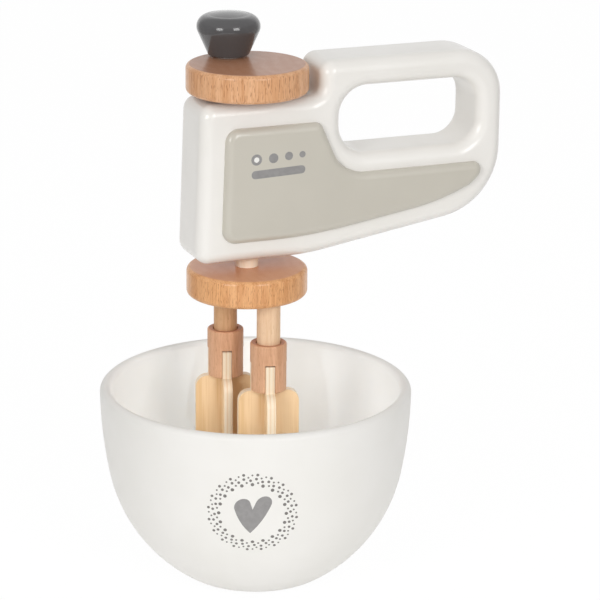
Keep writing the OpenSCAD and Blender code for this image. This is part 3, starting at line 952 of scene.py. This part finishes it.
def knob_profile():
    rim = Vector((width("knob") / 2 - KNOB_RIM_R, height("knob") - KNOB_CROWN - KNOB_RIM_R))
    crown_r = (rim.x ** 2 + KNOB_CROWN ** 2) / (2 * KNOB_CROWN)
    flare = rim - Vector((KNOB_FOOT_R, 0))
    touch = math.atan2(flare.y, flare.x) + math.acos(KNOB_RIM_R / flare.length) - math.pi
    crown = Vector((0, height("knob") - crown_r))
    rim_arc = arc(rim, KNOB_RIM_R, touch, math.pi / 2 - KNOB_LINE, KNOB_STEPS)
    foot = rounded([(0, 0, 0), (KNOB_FOOT_R, 0, KNOB_FOOT_EDGE), (*rim_arc[0][0], 0)], closed=False)
    crown_edge = math.pi / 2 - math.asin(rim.x / crown_r) + KNOB_LINE / 4
    return joined(foot, rim_arc, arc(crown, crown_r, crown_edge, math.pi / 2, KNOB_STEPS))


knob = turned(knob_profile()).piece("knob_turned", KNOB_PAINT, foot_of("knob"))
shown(knob, "knob", "knob")

# The screw that holds it, with a cross recess in its head
SCREW_HEAD_R = 4
SCREW_HEAD_H = 2.4
SCREW_EDGE = 0.5
RECESS_L = 4.8
RECESS_W = 1.1
RECESS_H = 1.4


def screw_profile():
    whole = height("knob_screw")
    return rounded([
        (0, 0, 0),
        (SCREW_HEAD_R, 0, SCREW_EDGE),
        (SCREW_HEAD_R, SCREW_HEAD_H, SCREW_EDGE / 2),
        (SCREW_R, SCREW_HEAD_H, SCREW_EDGE / 2),
        (SCREW_R, whole, SCREW_EDGE),
        (0, whole, 0),
    ], closed=False)


screw_foot = foot_of("knob_screw")
screw = turned(screw_profile()).piece("knob_screw_turned", STEEL, screw_foot, own_normals=False)
recess = (RECESS_L, RECESS_W, RECESS_H + OVER)
cutters = [block(recess, screw_foot - OVER * UP, quarter) for quarter in (0, math.pi / 2)]
shown(carved(screw, cutters), "knob_screw", "knob")


# Beaters

DOWEL_EDGE = 0.4
COLLAR_EDGE = 0.8
COLLAR_BORE_R = 5.4
COLLAR_BORE_H = 7.4
SLOT_W = 4.2
SLOT_H = 12.6
PADDLE_TURN = 75 * DEG
PADDLE_W = 26
PADDLE_R = 5
PADDLE_EDGE = (0.3, 0.3)
PADDLE_CUT_R = 0.45
TAB_H = 12
TAB_W = 15


def collar_profile(collar_r, collar_h):
    bottom = collar_h - COLLAR_BORE_H
    return rounded([
        (0, 0, 0),
        (collar_r, 0, COLLAR_EDGE),
        (collar_r, collar_h, COLLAR_EDGE),
        (COLLAR_BORE_R, collar_h, COLLAR_EDGE / 2),
        (COLLAR_BORE_R, bottom, COLLAR_EDGE / 2),
        (0, bottom, 0),
    ], closed=False)


def paddle_outline(whole, notched_from_top):
    """Wing with round corners, a tab above it, and a notch to half its height."""
    wing, tab, slot = PADDLE_W / 2, TAB_W / 2, SLOT_W / 2
    shoulder = whole - TAB_H
    notch = [(-slot, whole / 2, PADDLE_CUT_R), (slot, whole / 2, PADDLE_CUT_R)]
    low = [(-wing, 0, PADDLE_R), (wing, 0, PADDLE_R)]
    high = [(tab, whole, PADDLE_CUT_R), (-tab, whole, PADDLE_CUT_R)]
    if notched_from_top:
        mouth = [(slot, whole, PADDLE_CUT_R), *reversed(notch), (-slot, whole, PADDLE_CUT_R)]
        high[1:1] = mouth
    else:
        mouth = [(-slot, 0, PADDLE_CUT_R), *notch, (slot, 0, PADDLE_CUT_R)]
        low[1:1] = mouth
    right = [(wing, shoulder, PADDLE_R), (tab, shoulder, PADDLE_CUT_R)]
    left = [(-tab, shoulder, PADDLE_CUT_R), (-wing, shoulder, PADDLE_R)]
    return rounded(low + right + high + left)


# The rear dowel's darker wood holds painted shade as well as its own tone.
for side, dowel_wood in (("front", PALE_BEECH), ("rear", REAR_DOWEL_BEECH_AND_SHADE)):
    dowel = side + "_dowel"
    rod = turned_rod(width(dowel) / 2, height(dowel), DOWEL_EDGE)
    shown(rod.piece(dowel + "_wood", dowel_wood, foot_of(dowel)), dowel, "rotor")

    collar = side + "_collar"
    at = foot_of(collar)
    ring = turned(collar_profile(width(collar) / 2, height(collar)))
    ring = ring.piece(collar + "_wood", COLLAR_BEECH, at, own_normals=False)
    slot = (width(collar) + 2 * OVER, SLOT_W, SLOT_H + OVER)
    cutters = [block(slot, at - OVER * UP, PADDLE_TURN + quarter) for quarter in (0, math.pi / 2)]
    shown(carved(ring, cutters), collar, "rotor")

    for which, quarter in (("a", 0), ("b", math.pi / 2)):
        paddle = side + "_paddle_" + which
        wing = plate(paddle_outline(height(paddle), which == "a"),
                     plate_rows(-PLYWOOD_T / 2, PLYWOOD_T / 2, PADDLE_EDGE, PADDLE_EDGE))
        wing = wing.piece(paddle + "_ply", BIRCH_PLY, foot_of(paddle), PADDLE_TURN + quarter)
        shown(wing, paddle, "rotor")


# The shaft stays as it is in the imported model

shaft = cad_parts["drive_shaft"].data
shaft.materials.clear()
shaft.materials.append(PALE_BEECH)


# Floor, world, lights and camera

CAMERA_AT = Vector((-402.26, -1051.13, 474.02))
CAMERA_HEADING = 21.892 * DEG
CAMERA_PITCH = 17.348 * DEG
CAMERA_ROLL = 0.472 * DEG
CAMERA_LENS = 166.79
CAMERA_SENSOR = 36
CAMERA_REACH_M = 100

# The floor is a white sweep along the camera's heading: half its width, and its two ends
FLOOR_HALF = 300
FLOOR_ENDS = (-800, 1700)
FLOOR_COLOUR = (0.88, 0.88, 0.88, 1)
# The camera sees this share of it as glowing white, and the rest with the object's shadow
FLOOR_SHOWN_WHITE = 0.94
FLOOR_GLOW = 1.02

# Levels of the world round the horizon: the backdrop, the two sides and the room behind the camera
WORLD_BACK = 0.8
WORLD_SIDE = 0.47
WORLD_FRONT = 0.16
# Levels above that: the ceiling's front half and the rest of it
WORLD_HIGH_FRONT = 0.58
WORLD_CEILING = 0.66
# How far a direction looks towards the backdrop, or up, where one level runs into the next
BACK_FROM = (0.55, 0.85)
FRONT_FROM = (-0.7, -0.2)
HIGH_FRONT_FROM = (-0.45, -0.05)
CEILING_FROM = (0.36, 0.5)

# Softboxes as (name, heading from the front towards +X, elevation, width, height, watts), with
# angles in degrees
SOFTBOXES = (
    ("left_softbox", -53, 17, 21, 21, 9.1),
    ("right_softbox", 9, 19, 21, 22, 8.9),
)
SOFTBOX_DISTANCE = 1600
SOFTBOX_AIM = Vector((0, 0, 150))

# A soft fill inside the bowl for the light that the mixer's pale underside throws down. It lights
# only the bowl, is shaded only by it, and leaves with the mixer
BOWL_FILL_WATTS = 0.072
BOWL_FILL_TINT = (0.88, 1.01, 1.14)
BOWL_FILL_R = 20
BOWL_FILL_H = 66

# A low bounce from the floor in front of the bowl, which lightens the bowl's underside
BOUNCE_WATTS = 0.065
BOUNCE_SIZE = (460, 300)
BOUNCE_AWAY = 120
BOUNCE_RISE = 1


def shown_as_white(nodes):
    """1 where the camera, a reflection or glass looks at it, and 0 where it lights others."""
    path = nodes.add("ShaderNodeLightPath").outputs
    reflected = nodes.math("MAXIMUM", path["Is Camera Ray"], path["Is Glossy Ray"])
    return nodes.math("MAXIMUM", reflected, path["Is Transmission Ray"])


def make_floor():
    material = bpy.data.materials.new("pale_floor")
    material.use_nodes = True
    nodes = Nodes(material.node_tree)
    nodes.tree.nodes.clear()
    matte = nodes.add("ShaderNodeBsdfDiffuse")
    matte.inputs["Color"].default_value = FLOOR_COLOUR
    glow = nodes.add("ShaderNodeEmission")
    glow.inputs["Strength"].default_value = FLOOR_GLOW
    mix = nodes.add("ShaderNodeMixShader")
    nodes.put(nodes.math("MULTIPLY", shown_as_white(nodes), FLOOR_SHOWN_WHITE), mix.inputs[0])
    nodes.put(matte.outputs[0], mix.inputs[1])
    nodes.put(glow.outputs[0], mix.inputs[2])
    out = nodes.add("ShaderNodeOutputMaterial")
    nodes.put(mix.outputs[0], out.inputs["Surface"])
    skin = Skin()
    corners = itertools.product((-FLOOR_HALF, FLOOR_HALF), FLOOR_ENDS)
    a, b, c, d = (skin.point((x, y, 0), UP) for x, y in corners)
    skin.face([a, c, d, b])
    skin.piece("floor", material, turn=-CAMERA_HEADING)


def make_world():
    """Dim light from all round, with a backdrop that the camera and reflections see as white."""
    world = bpy.data.worlds.new("studio")
    bpy.context.scene.world = world
    world.use_nodes = True
    nodes = Nodes(world.node_tree)
    nodes.tree.nodes.clear()
    coords = nodes.add("ShaderNodeTexCoord")
    split = nodes.add("ShaderNodeSeparateXYZ")
    nodes.put(coords.outputs["Generated"], split.inputs[0])
    facing = nodes.add("ShaderNodeVectorMath")
    facing.operation = "DOT_PRODUCT"
    nodes.put(coords.outputs["Generated"], facing.inputs[0])
    facing.inputs[1].default_value = (math.sin(CAMERA_HEADING), math.cos(CAMERA_HEADING), 0)
    behind = facing.outputs["Value"]

    low = nodes.ranged(behind, *FRONT_FROM, WORLD_FRONT, WORLD_SIDE)
    low = nodes.ranged(behind, *BACK_FROM, low, WORLD_BACK)
    high = nodes.ranged(behind, *HIGH_FRONT_FROM, WORLD_HIGH_FRONT, WORLD_CEILING)
    level = nodes.ranged(split.outputs["Z"], *CEILING_FROM, low, high)
    # The camera sees white all round, and reflections see it where the backdrop is
    camera = nodes.add("ShaderNodeLightPath").outputs["Is Camera Ray"]
    backdrop = nodes.math("MULTIPLY", shown_as_white(nodes), nodes.ranged(behind, *BACK_FROM))
    level = nodes.mixed(camera, level, 1, kind="FLOAT")
    level = nodes.mixed(backdrop, level, 1, kind="FLOAT")
    back = nodes.add("ShaderNodeBackground")
    back.inputs["Color"].default_value = (1, 1, 1, 1)
    nodes.put(level, back.inputs["Strength"])
    out = nodes.add("ShaderNodeOutputWorld")
    nodes.put(back.outputs[0], out.inputs["Surface"])


def lamp_object(lamp):
    """Object of a lamp that the camera doesn't see."""
    obj = bpy.data.objects.new(lamp.name, lamp)
    bpy.context.scene.collection.objects.link(obj)
    obj.visible_camera = False
    return obj


def area_lamp(name, wide, tall, watts):
    """Rectangular lamp, with its size in millimetres."""
    lamp = bpy.data.lights.new(name, "AREA")
    lamp.shape = "RECTANGLE"
    lamp.size = wide * MM
    lamp.size_y = tall * MM
    lamp.energy = watts
    return lamp_object(lamp)


def make_softboxes():
    for name, heading, rise, wide, tall, watts in SOFTBOXES:
        sides = (2 * SOFTBOX_DISTANCE * math.tan(angle * DEG / 2) for angle in (wide, tall))
        box = area_lamp(name, *sides, watts)
        flat = math.cos(rise * DEG)
        out = Vector((math.sin(heading * DEG) * flat, -math.cos(heading * DEG) * flat,
                      math.sin(rise * DEG)))
        box.location = (SOFTBOX_AIM + out * SOFTBOX_DISTANCE) * MM
        box.rotation_euler = out.to_track_quat("Z", "Y").to_euler()


def make_bowl_fill():
    lamp = bpy.data.lights.new("bowl_fill", "POINT")
    lamp.shadow_soft_size = BOWL_FILL_R * MM
    lamp.energy = BOWL_FILL_WATTS
    lamp.color = BOWL_FILL_TINT
    fill = lamp_object(lamp)
    fill.matrix_world = Matrix.Translation((0, 0, BOWL_FILL_H * MM))
    fill.visible_glossy = False
    only_bowl = bpy.data.collections.new("bowl_fill_reaches")
    only_bowl.objects.link(bowl)
    fill.light_linking.receiver_collection = only_bowl
    fill.light_linking.blocker_collection = only_bowl
    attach(fill, "mixer")


def make_floor_bounce():
    bounce = area_lamp("floor_bounce", *BOUNCE_SIZE, BOUNCE_WATTS)
    bounce.matrix_world = (Matrix.Rotation(-CAMERA_HEADING, 4, "Z")
                           @ Matrix.Translation((0, -BOUNCE_AWAY * MM, BOUNCE_RISE * MM))
                           @ Matrix.Rotation(math.pi, 4, "X"))
    bounce.visible_glossy = False


def make_camera():
    data = bpy.data.cameras.new("camera")
    data.sensor_width = CAMERA_SENSOR
    data.lens = CAMERA_LENS
    data.clip_end = CAMERA_REACH_M
    obj = bpy.data.objects.new("camera", data)
    bpy.context.scene.collection.objects.link(obj)
    obj.matrix_world = (Matrix.Translation(CAMERA_AT * MM)
                        @ Matrix.Rotation(-CAMERA_HEADING, 4, "Z")
                        @ Matrix.Rotation(math.pi / 2 - CAMERA_PITCH, 4, "X")
                        @ Matrix.Rotation(CAMERA_ROLL, 4, "Z"))
    bpy.context.scene.camera = obj


make_floor()
make_world()
make_softboxes()
make_bowl_fill()
make_floor_bounce()
make_camera()
bpy.context.scene.view_settings.view_transform = "Standard"
